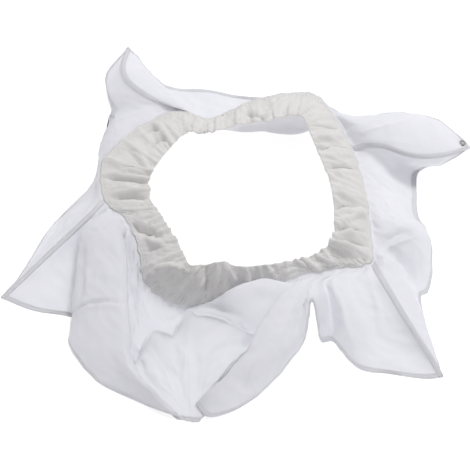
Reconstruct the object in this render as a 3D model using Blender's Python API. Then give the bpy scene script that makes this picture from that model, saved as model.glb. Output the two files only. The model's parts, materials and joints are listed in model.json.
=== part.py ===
"""White cotton veil skirt with an elastic-gathered cuff, laid out loosely on a flat surface.

Four flared skirt panels are sewn to each other along the corner seams and to the mouth of a
folded, gathered casing that holds a flat elastic. One corner carries a small metal eyelet.
Metres, +Z up, +X to the right, +Y to the back. The origin is under the middle of the whole
piece, on the surface it lies on.
"""
import math

import bmesh
import bpy
from mathutils import Matrix, Vector

# Sewn ring and casing
RING_WIDTH = 0.365          # sewn ring, left to right as it lies
RING_DEPTH = 0.370          # sewn ring, front to back as it lies
CASING_WIDTH = 0.063        # folded casing, sewn ring to elastic edge
CASING_CROWN = 0.006        # how far the casing bulges between its two edges
CASING_MOUTH = 0.0038       # between the middles of the casing's two layers, at the sewn ring
CASING_CHANNEL = 0.0048     # where the elastic runs
CASING_FOLD = 0.0030        # and at the folded edge
GATHERS = 22                # tucks that the elastic draws up round the casing
GATHER_HEIGHT = 0.004       # how far a tuck stands out at the elastic edge

# Elastic
ELASTIC_WIDTH = 0.010
ELASTIC_THICKNESS = 0.0012
ELASTIC_PLACE = 0.82        # its upper edge, as a share of the casing's width

# Skirt
SKIRT_DEPTH = 0.200         # cloth from the sewn ring to a corner, along the corner seam
CLOTH = 0.001               # single cloth, with room for its crimp
HEM = 0.0016                # turned hem at the outer edge
SEAM_TUCK = 0.005           # cloth edge held inside the casing's mouth
SEAM_RUN = 0.003            # straight run of cloth just outside the mouth
SEAM_ROLL = 0.008           # cloth then rolls out this far before it falls
SEAM_GAP = 0.0008           # each panel stops this far short of a corner seam
LYING_FLAT = 0.0005         # cloth pressed flat where it lies on the surface

# Eyelet
EYELET_OUTER = 0.0090       # flange diameter
EYELET_BARREL = 0.0056      # barrel diameter, through the cloth
EYELET_BORE = 0.0044        # clear hole
EYELET_METAL = 0.0005       # sheet thickness
EYELET_EDGE = 0.0003        # rounding of the flange's edges
EYELET_ROLL = 0.0009        # how far the barrel's end is rolled out over the washer
EYELET_CLEARANCE = 0.0004   # flange to cloth
EYELET_FIT = 0.0003         # barrel to washer and to cloth
EYELET_MARGIN = 0.00225     # cloth pressed flat beyond the flange
EYELET_RIB = 0.92           # place in the back panel: ribs from the corner seam
EYELET_LEVEL = 3.83         # and steps down that rib

# The loft's own counts
SECTIONS = 4 * GATHERS      # four sections to a tuck
ROWS = (0.0, 1.0, 1.5, 2.0, 2.5, 3.0, 3.5, 4.0)
NEARBY = 0.1                # stations to either side that give the ring's direction
ROUND = 24                  # sides of the eyelet

# Stations round the sewn ring, counter-clockwise from the tight pinch at the back, in
# millimetres: right, back and height of the seam, then the step from there to the elastic
# edge (right, back) and that edge's height.
STATIONS = (
    (-50, 195, 34, 0, -50, 54),
    (-95, 215, 36, 15, -65, 50),      # left back corner
    (-135, 190, 36, 35, -60, 46),
    (-175, 145, 34, 55, -50, 44),
    (-195, 95, 32, 70, -30, 43),
    (-190, 30, 30, 65, -5, 42),       # left front corner
    (-160, 5, 28, 45, 0, 42),
    (-140, -50, 22, 50, -5, 46),
    (-130, -100, 14, 55, 5, 53),
    (-110, -125, 9, 40, 10, 57),
    (-75, -140, 7, 25, 20, 60),
    (-35, -130, 8, 10, 20, 59),
    (10, -110, 11, -10, -5, 53),
    (75, -95, 18, -10, -5, 50),
    (125, -85, 23, -25, 5, 49),
    (170, -80, 26, -50, 20, 52),      # right front corner
    (170, -15, 27, -50, 0, 54),
    (170, 45, 28, -50, -5, 56),
    (160, 100, 30, -55, -15, 57),
    (155, 135, 34, -55, -15, 60),     # right back corner
    (135, 185, 40, -45, -30, 64),
    (110, 225, 50, -25, -60, 67),
    (80, 230, 54, -15, -65, 68),
    (20, 225, 48, 5, -70, 66),
    (-20, 210, 40, 10, -55, 61),
)

# Ribs of the skirt. Each starts at a place along the stations and runs over three spots down
# to the hem: the step from the seam to the right and to the back, and the height above the
# surface, in millimetres, for a skirt 200 mm deep along its corner seams.
RIB_DEPTH = 200
LEFT_BACK_SEAM = ((-35, 20, 47), (-75, 45, 55), (-75, 115, 58))
LEFT_FRONT_SEAM = ((-40, -50, 27), (-85, -100, 14), (-130, -150, 0))
RIGHT_FRONT_SEAM = ((25, -70, 33), (50, -130, 21), (80, -175, 0))
RIGHT_BACK_SEAM = ((45, -15, 51), (95, -35, 47), (165, -10, 40))

LEFT_PANEL = (
    (1.0, *LEFT_BACK_SEAM),
    # the raised corner's near side, then cloth turned under the casing
    (1.7, (-30, 25, 36), (-60, 55, 33), (-80, 90, 38)),
    (2.4, (-20, 30, 22), (-40, 65, 8), (-45, 75, 0)),
    (3.2, (-15, 20, 22), (-25, 40, 10), (-15, 30, 0)),
    (4.0, (-15, 10, 20), (-20, 15, 10), (-10, 10, 0)),
    # the far slope of the left front corner
    (4.5, (-15, 5, 22), (-30, 0, 10), (-60, -35, 0)),
    (4.8, (-35, -25, 18), (-70, -65, 7), (-100, -115, 0)),
    (5.0, *LEFT_FRONT_SEAM),
)
FRONT_PANEL = (
    (5.0, *LEFT_FRONT_SEAM),
    # flat corner flap, and its inner edge tucked under the large fold
    (5.15, (-35, -55, 17), (-65, -120, 6), (-85, -170, 0)),
    (5.3, (-35, -50, 11), (-40, -120, 4), (-45, -170, 0)),
    (5.5, (-20, -70, 3), (-20, -145, 0), (-20, -185, 0)),
    # large rounded fold running to the front
    (5.7, (-45, -80, 27), (-50, -165, 16), (-50, -210, 0)),
    (5.9, (-35, -90, 44), (-30, -195, 34), (-15, -270, 0)),
    (6.1, (-20, -90, 50), (-10, -215, 40), (25, -295, 0)),
    (6.4, (0, -70, 48), (10, -195, 41), (55, -310, 0)),
    (6.7, (-10, -60, 22), (10, -175, 14), (65, -290, 0)),
    # hollow under the casing, then the standing edge of the bowl
    (7.5, (0, -70, 4), (15, -160, 8), (60, -250, 0)),
    (8.7, (5, -45, 6), (15, -85, 26), (55, -205, 0)),
    (9.9, (0, -20, 6), (0, -45, 28), (25, -185, 0)),
    (11.5, (0, -25, 40), (0, -60, 16), (-35, -205, 0)),
    (12.2, (0, -25, 40), (-10, -90, 18), (-65, -215, 0)),
    # second fold, slanting across the front
    (12.8, (-20, -70, 36), (-65, -150, 36), (-95, -225, 0)),
    (13.1, (-25, -85, 42), (-65, -160, 31), (-95, -220, 0)),
    (13.3, (-20, -80, 47), (-45, -150, 35), (-65, -185, 0)),
    (13.45, (-20, -70, 50), (-25, -115, 46), (-30, -130, 12)),
    # arch where the hem lifts, then a pleat and the flat right flap
    (13.75, (-25, -40, 42), (-28, -65, 52), (-28, -85, 48)),
    (13.9, (-25, -60, 44), (-27, -85, 38), (-25, -110, 0)),
    (14.05, (-20, -55, 27), (-18, -90, 15), (-15, -110, 0)),
    (14.25, (-15, -70, 40), (-5, -120, 26), (5, -155, 0)),
    (14.55, (-5, -65, 24), (10, -115, 9), (30, -165, 0)),
    (14.8, (10, -60, 25), (40, -115, 11), (65, -175, 0)),
    (15.0, *RIGHT_FRONT_SEAM),
)
RIGHT_PANEL = (
    (15.0, *RIGHT_FRONT_SEAM),
    # narrow far slope of the corner and the valley behind it
    (15.25, (35, -30, 31), (55, -95, 16), (75, -160, 0)),
    (15.5, (35, -15, 12), (50, -50, 1), (60, -70, 0)),
    # rounded lobe
    (15.8, (35, -20, 29), (60, -50, 10), (70, -80, 0)),
    (16.1, (35, -25, 38), (65, -45, 25), (80, -70, 0)),
    (16.4, (35, -30, 43), (65, -30, 34), (85, -30, 0)),
    # plain slope down to the side
    (16.8, (35, -15, 21), (60, -5, 7), (75, 0, 0)),
    (17.4, (35, 0, 19), (60, 0, 6), (75, 0, 0)),
    (18.2, (35, 5, 23), (65, 15, 8), (90, 15, 0)),
    # under side of the raised right back corner
    (18.7, (40, 0, 36), (80, -20, 32), (135, -10, 30)),
    (19.0, *RIGHT_BACK_SEAM),
)
BACK_PANEL = (
    (19.0, *RIGHT_BACK_SEAM),
    # leaf-shaped raised corner with the eyelet at its tip
    (19.3, (55, -15, 63), (110, -20, 59), (165, -15, 44)),
    (19.6, (50, -10, 68), (110, -5, 65), (155, -15, 47)),
    (19.9, (40, -10, 61), (85, -5, 62), (135, 0, 50)),
    (20.2, (25, -5, 46), (55, 5, 42), (85, 10, 42)),
    (20.6, (20, 10, 24), (35, 20, 6), (45, 20, 0)),
    # cloth that drops behind the casing and spreads out flat
    (21.0, (5, -10, 20), (10, 10, 0), (10, 45, 0)),
    (22.0, (5, -25, 8), (5, 0, 0), (0, 50, 0)),
    (23.0, (0, -15, 8), (0, 10, 0), (-10, 60, 0)),
    (24.0, (0, 0, 8), (-10, 30, 0), (-30, 90, 4)),
    (25.0, (-5, 25, 18), (-20, 55, 8), (-40, 100, 9)),
    # raised left back corner
    (25.5, (-10, 30, 32), (-30, 50, 30), (-45, 75, 29)),
    (25.8, (-25, 25, 44), (-55, 55, 51), (-75, 110, 56)),
    (26.0, *LEFT_BACK_SEAM),
)

# Casing cross-section, from the outer layer's mouth over the fold to the inner layer's mouth:
# share of the width, and distance out from the middle
CASING_KNOTS = (
    (0.0, CASING_MOUTH / 2),
    (0.45, CASING_CHANNEL / 2),
    (0.88, CASING_CHANNEL / 2),
    (1.0, CASING_FOLD / 2),
    (1.0, -CASING_FOLD / 2),
    (0.88, -CASING_CHANNEL / 2),
    (0.0, -CASING_MOUTH / 2),
)


for old in list(bpy.data.objects):
    bpy.data.objects.remove(old, do_unlink=True)


def curve_at(points, place, closed=False):
    """Point at a place (counted in points) on the smooth curve through the points."""
    count = len(points)
    start = math.floor(place) if closed else min(math.floor(place), count - 2)
    part = place - start

    def pick(index):
        if closed:
            return points[index % count]
        if index < 0:
            return 2 * points[0] - points[1]
        if index >= count:
            return 2 * points[-1] - points[-2]
        return points[index]

    before, a, b, after = (pick(start + step) for step in (-1, 0, 1, 2))
    return 0.5 * (2 * a + (b - before) * part
                  + (2 * before - 5 * a + 4 * b - after) * part ** 2
                  + (3 * a - before - 3 * b + after) * part ** 3)


def make_material(name, colour, roughness, metallic=0.0):
    material = bpy.data.materials.new(name)
    material.use_nodes = True
    shader = material.node_tree.nodes["Principled BSDF"]
    shader.inputs["Base Color"].default_value = (*colour, 1.0)
    shader.inputs["Roughness"].default_value = roughness
    shader.inputs["Metallic"].default_value = metallic
    return material


root = bpy.data.objects.new("laid_out_veil", None)
bpy.context.collection.objects.link(root)


def add_object(name, bm, material, smooth=True):
    """Finish a mesh with its faces pointing out and hang it on the root."""
    bmesh.ops.recalc_face_normals(bm, faces=bm.faces)
    mesh = bpy.data.meshes.new(name)
    bm.to_mesh(mesh)
    bm.free()
    mesh.materials.append(material)
    if smooth:
        mesh.shade_smooth()
    item = bpy.data.objects.new(name, mesh)
    bpy.context.collection.objects.link(item)
    item.parent = root
    return item


def add_shell(item, thickness):
    """Give a single sheet its cloth thickness, half to each side."""
    shell = item.modifiers.new("cloth", "SOLIDIFY")
    shell.thickness = thickness
    shell.offset = 0.0
    shell.use_rim = True
    return shell


# Sections of the casing, square to its run, from the stations stretched to the ring's size
ring_x = [spot[0] for spot in STATIONS]
ring_y = [spot[1] for spot in STATIONS]
stretch_x = RING_WIDTH / (max(ring_x) - min(ring_x))
stretch_y = RING_DEPTH / (max(ring_y) - min(ring_y))
casing_steps = [Vector((dx, dy, top - z)) for x, y, z, dx, dy, top in STATIONS]
casing_mean = sum(step.length for step in casing_steps) / len(casing_steps)
casing_stretch = CASING_WIDTH / casing_mean
seam_spots = [Vector((x * stretch_x, y * stretch_y, z / 1000)) for x, y, z, *_ in STATIONS]
edge_spots = [seam + step * casing_stretch for seam, step in zip(seam_spots, casing_steps)]


def section(place):
    """Seam point, step to the elastic edge and outward direction at a place on the ring."""
    seam = curve_at(seam_spots, place, closed=True)
    step = curve_at(edge_spots, place, closed=True) - seam
    run = Vector()
    for spots in (seam_spots, edge_spots):
        run += curve_at(spots, place + NEARBY, closed=True)
        run -= curve_at(spots, place - NEARBY, closed=True)
    return seam, step, run.cross(step).normalized()


def casing_middle(index, share):
    """Middle of the casing's thickness: crowned, and gathered towards the elastic."""
    seam, step, out = sections[index % SECTIONS]
    tuck = GATHER_HEIGHT * share ** 2 * math.sin(2 * math.pi * GATHERS * index / SECTIONS)
    return seam + step * share + out * (4 * CASING_CROWN * share * (1 - share) + tuck)


places = [len(STATIONS) * index / SECTIONS for index in range(SECTIONS)]
sections = [section(place) for place in places]

cotton = make_material("white_cotton", (0.80, 0.79, 0.83), 0.85)
casing_cotton = make_material("casing_cotton", (0.72, 0.70, 0.69), 0.85)
knit_elastic = make_material("knit_elastic", (0.78, 0.78, 0.76), 0.75)
nickel = make_material("nickelled_brass", (0.55, 0.55, 0.56), 0.3, 1.0)

# Casing: one strip of cloth folded over the elastic, its open mouth on the sewn ring
bm = bmesh.new()
loops = []
for index in range(SECTIONS):
    out = sections[index][2]
    loops.append([bm.verts.new(casing_middle(index, share) + out * offset)
                  for share, offset in CASING_KNOTS])
for index in range(SECTIONS):
    here = loops[index]
    there = loops[(index + 1) % SECTIONS]
    for knot in range(len(CASING_KNOTS) - 1):
        bm.faces.new((here[knot], there[knot], there[knot + 1], here[knot + 1]))
add_shell(add_object("cuff_casing", bm, casing_cotton), CLOTH)


# Elastic: a flat band drawn round inside the casing, below its fold
def elastic_spot(index, drop):
    """Place in the flat stretch of the casing's middle, a distance below the elastic's top."""
    low_share, high_share = CASING_KNOTS[1][0], CASING_KNOTS[2][0]
    low = casing_middle(index, low_share)
    high = casing_middle(index, high_share)
    width = sections[index][1].length
    share = ELASTIC_PLACE - drop / width
    return low.lerp(high, (share - low_share) / (high_share - low_share))


bm = bmesh.new()
loops = []
for index in range(SECTIONS):
    half = sections[index][2] * (ELASTIC_THICKNESS / 2)
    upper = elastic_spot(index, 0.0)
    lower = elastic_spot(index, ELASTIC_WIDTH)
    loops.append([bm.verts.new(spot) for spot in (upper + half, upper - half, lower - half, lower + half)])
for index in range(SECTIONS):
    here = loops[index]
    there = loops[(index + 1) % SECTIONS]
    for side in range(4):
        after = (side + 1) % 4
        bm.faces.new((here[side], there[side], there[after], here[after]))
add_object("elastic_band", bm, knit_elastic, smooth=False)


# Skirt panels: cloth from inside the casing's mouth, over the ribs, to the hem
def mouth_spots(place):
    """Cloth edge inside the mouth, end of the straight run outside it, and the roll beyond."""
    exact = place / len(STATIONS) * SECTIONS
    low = math.floor(exact + 1e-6)
    part = min(max(exact - low, 0.0), 1.0)
    spots = []
    for index in (low, low + 1):
        base = casing_middle(index, 0.0)
        along = (casing_middle(index, CASING_KNOTS[1][0]) - base).normalized()
        out = sections[index % SECTIONS][2] * Vector((1, 1, 0))
        leave = base - along * SEAM_RUN
        spots.append((base + along * SEAM_TUCK, leave, leave + out.normalized() * SEAM_ROLL))
    return tuple(first.lerp(second, part) for first, second in zip(*spots))


reach = SKIRT_DEPTH / RIB_DEPTH


def panel_spot(ribs, rib, level):
    """Point of a panel's middle surface, a number of ribs along and of steps down."""
    first = min(int(rib), len(ribs) - 2)
    place = ribs[first][0] + (ribs[first + 1][0] - ribs[first][0]) * (rib - first)
    seam = section(place)[0]
    line = list(mouth_spots(place)[1:])
    for step in (1, 2, 3):
        right, back, height = curve_at([Vector(each[step]) for each in ribs], rib)
        line.append(Vector((seam.x + right * reach, seam.y + back * reach, height / 1000)))
    return curve_at(line, level)


def panel_columns(ribs):
    """Ribs, and between them every section of the casing, so that the seam lines up."""
    columns = {float(index) for index in range(len(ribs))}
    for place in (each for turn in (0, len(STATIONS)) for each in (spot + turn for spot in places)):
        for index in range(len(ribs) - 1):
            start, end = ribs[index][0], ribs[index + 1][0]
            if start + 1e-6 < place < end - 1e-6:
                columns.add(index + (place - start) / (end - start))
    return sorted(columns)


def within(value, span):
    """Whether a value lies in a span, which is two numbers, or empty for none."""
    return bool(span) and span[0] <= value <= span[1]


def make_panel(name, ribs, patch=((), ())):
    """Loft a panel over its ribs. A patch, from and to in ribs and in steps down, is pressed flat."""
    pressed_ribs, pressed_levels = patch
    columns = sorted({*panel_columns(ribs), *pressed_ribs})
    rows = sorted({*ROWS, *pressed_levels})
    grid = []
    for rib in columns:
        first = min(int(rib), len(ribs) - 2)
        place = ribs[first][0] + (ribs[first + 1][0] - ribs[first][0]) * (rib - first)
        grid.append([mouth_spots(place)[0]] + [panel_spot(ribs, rib, level) for level in rows])
    for rib, column in zip(columns, grid):
        for level, spot in zip(rows, column[1:]):
            if within(rib, pressed_ribs) and within(level, pressed_levels):
                spot -= eyelet_up * (spot - eyelet_spot).dot(eyelet_up)
    # stop short of the corner seams, and lie on the surface rather than in it
    for end, beside in ((0, 1), (-1, -2)):
        for row, spot in enumerate(grid[end]):
            spot += (grid[beside][row] - spot).normalized() * SEAM_GAP
    for column in grid:
        for row, spot in enumerate(column):
            lowest = (HEM if row == len(rows) else CLOTH) / 2
            spot.z = max(spot.z, lowest)
    bm = bmesh.new()
    verts = [[bm.verts.new(spot) for spot in column] for column in grid]
    for here, there in zip(verts, verts[1:]):
        for row in range(len(rows)):
            bm.faces.new((here[row], here[row + 1], there[row + 1], there[row]))
    panel = add_object(name, bm, cotton)
    hem = panel.vertex_groups.new(name="hem")
    per_column = len(rows) + 1
    hem.add([index for index in range(len(panel.data.vertices)) if index % per_column == len(rows)],
            1.0, "REPLACE")
    shell = add_shell(panel, HEM)
    shell.vertex_group = "hem"
    shell.thickness_vertex_group = CLOTH / HEM
    return panel


def add_guide(name, bm):
    """A cutting shape that isn't part of the piece."""
    guide = add_object(name, bm, cotton)
    guide.display_type = "WIRE"
    guide.hide_render = True
    return guide


def cut(item, guide):
    """Cut a guide out of the cloth, whose folds lie too close for the default solver."""
    shape = item.modifiers.new("cut_" + guide.name, "BOOLEAN")
    shape.operation = "DIFFERENCE"
    shape.solver = "MANIFOLD"
    shape.object = guide


# Place of the eyelet on the back panel, and the patch of cloth that it presses flat
eyelet_spot = panel_spot(BACK_PANEL, EYELET_RIB, EYELET_LEVEL)
per_rib = panel_spot(BACK_PANEL, EYELET_RIB + 0.5, EYELET_LEVEL)
per_rib -= panel_spot(BACK_PANEL, EYELET_RIB - 0.5, EYELET_LEVEL)
per_level = panel_spot(BACK_PANEL, EYELET_RIB, ROWS[-1]) - panel_spot(BACK_PANEL, EYELET_RIB, ROWS[-2])
per_level /= ROWS[-1] - ROWS[-2]
eyelet_up = per_level.cross(per_rib).normalized()
if eyelet_up.z < 0:
    eyelet_up = -eyelet_up
pressed = EYELET_OUTER / 2 + EYELET_MARGIN
half_ribs = pressed / per_rib.length
half_levels = pressed / per_level.length
eyelet_patch = ((EYELET_RIB - half_ribs, EYELET_RIB + half_ribs),
                (EYELET_LEVEL - half_levels, EYELET_LEVEL + half_levels))

panels = {
    "skirt_left": make_panel("skirt_left", LEFT_PANEL),
    "skirt_front": make_panel("skirt_front", FRONT_PANEL),
    "skirt_right": make_panel("skirt_right", RIGHT_PANEL),
    "skirt_back": make_panel("skirt_back", BACK_PANEL, eyelet_patch),
}

# The surface that the cloth lies on presses it flat
bm = bmesh.new()
bmesh.ops.create_cube(bm, size=2.0, matrix=Matrix.Translation((0, 0, LYING_FLAT - 1.0)))
surface = add_guide("surface_under", bm)
for panel in panels.values():
    cut(panel, surface)

# Eyelet: a flanged barrel through the corner of the back panel, rolled over a washer below
side = per_rib.normalized()
eyelet_axes = Matrix((side, eyelet_up.cross(side), eyelet_up)).transposed()
eyelet_place = Matrix.Translation(eyelet_spot) @ eyelet_axes.to_4x4()


def turned(name, outline, material):
    """Revolve a closed outline of (radius, height) pairs about the local Z axis."""
    bm = bmesh.new()
    rings = []
    for index in range(ROUND):
        angle = 2 * math.pi * index / ROUND
        rings.append([bm.verts.new((radius * math.cos(angle), radius * math.sin(angle), height))
                      for radius, height in outline])
    for index in range(ROUND):
        here = rings[index]
        there = rings[(index + 1) % ROUND]
        for knot in range(len(outline)):
            after = (knot + 1) % len(outline)
            bm.faces.new((here[knot], there[knot], there[after], here[after]))
    item = add_object(name, bm, material)
    item.data.set_sharp_from_angle(angle=math.radians(40))
    item.matrix_local = eyelet_place
    return item


cloth_face = CLOTH / 2 + EYELET_CLEARANCE
flange_face = cloth_face + EYELET_METAL
washer_back = -cloth_face - EYELET_METAL
roll_face = washer_back - EYELET_FIT
roll_radius = EYELET_BARREL / 2 + EYELET_ROLL
turned("eyelet_grommet", (
    (EYELET_BORE / 2, flange_face - EYELET_EDGE),
    (EYELET_BORE / 2 + EYELET_EDGE, flange_face),
    (EYELET_OUTER / 2 - EYELET_EDGE, flange_face),
    (EYELET_OUTER / 2, flange_face - EYELET_EDGE),
    (EYELET_OUTER / 2, cloth_face),
    (EYELET_BARREL / 2, cloth_face),
    (EYELET_BARREL / 2, roll_face),
    (roll_radius, roll_face),
    (roll_radius, roll_face - EYELET_METAL),
    (EYELET_BORE / 2, roll_face - EYELET_METAL),
), nickel)
hole_radius = EYELET_BARREL / 2 + EYELET_FIT
turned("eyelet_washer", (
    (hole_radius, -cloth_face),
    (EYELET_OUTER / 2, -cloth_face),
    (EYELET_OUTER / 2, washer_back),
    (hole_radius, washer_back),
), nickel)

bm = bmesh.new()
bmesh.ops.create_cone(bm, cap_ends=True, segments=ROUND, radius1=hole_radius, radius2=hole_radius,
                      depth=EYELET_OUTER)
punch = add_guide("eyelet_punch", bm)
punch.matrix_local = eyelet_place
cut(panels["skirt_back"], punch)

# Bring the whole piece's middle over the origin and its lowest point onto the surface
bpy.context.view_layer.update()
depsgraph = bpy.context.evaluated_depsgraph_get()
corners = []
for item in root.children:
    if not item.hide_render:
        shape = item.evaluated_get(depsgraph)
        corners += [shape.matrix_world @ vertex.co for vertex in shape.data.vertices]
lows = [min(spot[axis] for spot in corners) for axis in range(3)]
highs = [max(spot[axis] for spot in corners) for axis in range(3)]
root.location = (-(lows[0] + highs[0]) / 2, -(lows[1] + highs[1]) / 2, -lows[2])
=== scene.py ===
"""Looks of a white cotton veil skirt with an elastic-gathered cuff, laid out on a pale surface.

The cloth is modelled as it lies: folds and hems are read off the picture as spots, each a pixel
and a height above the surface, and lofted into thin sheets that are sewn along shared seams.
"""
import json
import math

import bpy
import numpy as np
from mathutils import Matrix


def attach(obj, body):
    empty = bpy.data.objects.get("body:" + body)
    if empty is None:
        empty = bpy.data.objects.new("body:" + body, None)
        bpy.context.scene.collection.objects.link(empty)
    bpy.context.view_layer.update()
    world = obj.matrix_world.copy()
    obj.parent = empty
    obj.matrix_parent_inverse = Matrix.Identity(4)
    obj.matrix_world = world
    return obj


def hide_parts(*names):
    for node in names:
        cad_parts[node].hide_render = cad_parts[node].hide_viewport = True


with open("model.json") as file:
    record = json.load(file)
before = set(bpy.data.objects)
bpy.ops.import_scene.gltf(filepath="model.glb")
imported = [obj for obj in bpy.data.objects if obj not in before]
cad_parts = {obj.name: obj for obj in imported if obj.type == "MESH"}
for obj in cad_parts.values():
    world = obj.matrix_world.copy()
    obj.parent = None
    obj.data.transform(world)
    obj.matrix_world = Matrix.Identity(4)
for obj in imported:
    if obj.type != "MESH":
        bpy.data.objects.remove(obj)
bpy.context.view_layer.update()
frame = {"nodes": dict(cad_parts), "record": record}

# Camera
# It stands in front of the laid-out piece and looks down on it at 45 degrees. Its square picture
# is 470 pixels a side, and a pixel spans 1.34 mm at the middle of the piece.
PICTURE = 470
PIXEL = 0.00134
DISTANCE = 2.2
LOOK_DOWN = math.radians(45)
MIDDLE = np.array((-0.0109, -0.0225, 0.0195))
SENSOR_MM = 36

away = np.array((0.0, -math.cos(LOOK_DOWN), math.sin(LOOK_DOWN)))
upward = np.array((0.0, math.sin(LOOK_DOWN), math.cos(LOOK_DOWN)))
rightward = np.array((1.0, 0.0, 0.0))
eye = MIDDLE + away * DISTANCE

camera_data = bpy.data.cameras.new("camera")
camera_data.sensor_width = SENSOR_MM
camera_data.lens = SENSOR_MM * DISTANCE / (PICTURE * PIXEL)
camera_data.clip_end = 20
camera = bpy.data.objects.new("camera", camera_data)
camera.location = eye
camera.rotation_euler = (math.pi / 2 - LOOK_DOWN, 0, 0)
bpy.context.collection.objects.link(camera)
bpy.context.scene.camera = camera
bpy.context.scene.view_settings.view_transform = "Standard"


def spot(column, row, height):
    """Point at a height in millimetres that the camera sees at a pixel of its picture."""
    across = (column - PICTURE / 2) * PIXEL / DISTANCE
    up = (PICTURE / 2 - row) * PIXEL / DISTANCE
    ray = rightward * across + upward * up - away
    return eye + ray * ((height / 1000 - eye[2]) / ray[2])


def pixels(points):
    """Column and row at which the camera sees points, and how far off they are."""
    ray = points - eye
    far = -(ray @ away)
    return (PICTURE / 2 + ray @ rightward / far * DISTANCE / PIXEL,
            PICTURE / 2 - ray @ upward / far * DISTANCE / PIXEL, far)


# Surface and light
# A plain white table lit a little from below, so that thin cloth shows bright on it, and the soft
# light of a white room with one large lamp above the right back corner.
SURFACE_SIZE = 8.0
SURFACE_WHITE = "#F7F7F7"
SURFACE_GLOW = 0.47
ROOM_LIGHT = 0.50
LAMP_POWER = 21.0
LAMP_SIZE = 0.6
LAMP_FROM = (0.55, 0.6, 2.05)


def linear(code):
    """Linear colour of an sRGB hex value."""
    parts = [int(code[place:place + 2], 16) / 255 for place in (1, 3, 5)]
    return (*(part / 12.92 if part <= 0.04045 else ((part + 0.055) / 1.055) ** 2.4 for part in parts), 1.0)


def add_node(tree, kind, sockets=None, **settings):
    """Add a node, set its properties, and set or link its inputs by name or number."""
    node = tree.nodes.new(kind)
    for name, value in settings.items():
        setattr(node, name, value)
    for name, value in (sockets or {}).items():
        if isinstance(value, bpy.types.NodeSocket):
            tree.links.new(value, node.inputs[name])
        else:
            node.inputs[name].default_value = value
    return node


def seen_directly(tree):
    """1 where the eye sees a thing itself or in gloss or glass, 0 where it only lights others."""
    path = add_node(tree, "ShaderNodeLightPath")
    seen = path.outputs["Is Camera Ray"]
    for name in ("Is Glossy Ray", "Is Transmission Ray"):
        either = add_node(tree, "ShaderNodeMath", {0: seen, 1: path.outputs[name]}, operation="MAXIMUM")
        seen = either.outputs[0]
    return seen


def new_material(name):
    """An empty material and its output node."""
    material = bpy.data.materials.new(name)
    material.use_nodes = True
    material.node_tree.nodes.clear()
    return material, add_node(material.node_tree, "ShaderNodeOutputMaterial")


def add_mesh(name, points, faces, material):
    """A smooth-shaded object at the origin with its place in its mesh."""
    mesh = bpy.data.meshes.new(name)
    mesh.from_pydata(np.asarray(points).reshape(-1, 3).tolist(), [], np.asarray(faces).tolist())
    mesh.materials.append(material)
    mesh.shade_smooth()
    item = bpy.data.objects.new(name, mesh)
    bpy.context.collection.objects.link(item)
    return item


painted_board, output = new_material("matt_white_board")
tree = painted_board.node_tree
matt = add_node(tree, "ShaderNodeBsdfDiffuse", {"Color": linear(SURFACE_WHITE)})
glow = add_node(tree, "ShaderNodeEmission", {"Strength": SURFACE_GLOW})
both = add_node(tree, "ShaderNodeAddShader", {0: matt.outputs[0], 1: glow.outputs[0]})
tree.links.new(both.outputs[0], output.inputs["Surface"])

half = SURFACE_SIZE / 2
surface = add_mesh("white_surface", ((-half, -half, 0), (half, -half, 0), (half, half, 0), (-half, half, 0)),
                   ((0, 1, 2, 3),), painted_board)

room = bpy.data.worlds.new("white_room")
room.use_nodes = True
tree = room.node_tree
tree.nodes.clear()
strength = add_node(tree, "ShaderNodeMapRange", {
    "Value": seen_directly(tree), "To Min": ROOM_LIGHT, "To Max": 1.0})
wall = add_node(tree, "ShaderNodeBackground", {"Color": (1, 1, 1, 1), "Strength": strength.outputs[0]})
add_node(tree, "ShaderNodeOutputWorld", {"Surface": wall.outputs[0]})
bpy.context.scene.world = room

lamp_data = bpy.data.lights.new("large_lamp", "AREA")
lamp_data.energy = LAMP_POWER
lamp_data.size = LAMP_SIZE
lamp = bpy.data.objects.new("large_lamp", lamp_data)
lamp.location = LAMP_FROM
lamp.rotation_euler = (-lamp.location).to_track_quat("-Z", "Y").to_euler()
bpy.context.collection.objects.link(lamp)

# Cuff
# The cuff is a strip of cotton folded in two over an elastic. Casing and elastic share one surface,
# which rises from the sewn seam to the elastic edge and is thrown into pleats where the elastic
# draws it in. It is made here, and the two pieces follow.

# Stations round the piece, counter-clockwise from the tight pinch at the back: where the casing
# is sewn to the skirt, then its elastic edge, each as column, row and height in millimetres
RING = (
    ((206, 119, 34), (206, 133, 54)),
    ((178, 110, 36), (187, 132, 50)),      # left back corner
    ((148, 122, 36), (172, 145, 46)),
    ((118, 144, 34), (157, 163, 44)),
    ((101, 168, 32), (149, 177, 43)),
    ((105, 202, 30), (151, 198, 43)),      # left front corner
    ((124, 217, 28), (157, 209, 43)),
    ((138, 248, 22), (175, 238, 46)),
    ((144, 279, 14), (184, 256, 53)),
    ((160, 296, 9), (190, 265, 58)),
    ((186, 305, 7), (206, 265, 60)),
    ((216, 301, 8), (222, 263, 59)),
    ((252, 288, 11), (246, 267, 47)),
    ((300, 275, 18), (292, 261, 33)),
    ((340, 268, 23), (320, 252, 37)),
    ((371, 262, 26), (333, 238, 48)),      # right front corner
    ((370, 228, 27), (335, 213, 54)),
    ((366, 196, 28), (331, 184, 56)),
    ((359, 168, 30), (322, 160, 58)),
    ((352, 148, 34), (314, 141, 60)),      # right back corner
    ((338, 122, 40), (307, 124, 64)),
    ((318, 97, 50), (302, 116, 67)),
    ((297, 93, 54), (287, 116, 68)),
    ((258, 99, 48), (262, 121, 66)),
    ((230, 111, 40), (236, 125, 61)),
)
STATIONS = len(RING)
WRAP = 3                       # stations repeated past either end, so that the ring closes smoothly
SEAM_WAVES = (31, 47, 83)
SEAM_WAVER = 0.0007
RING_NUDGE = 0.1               # in stations, to either side of a place

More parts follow.
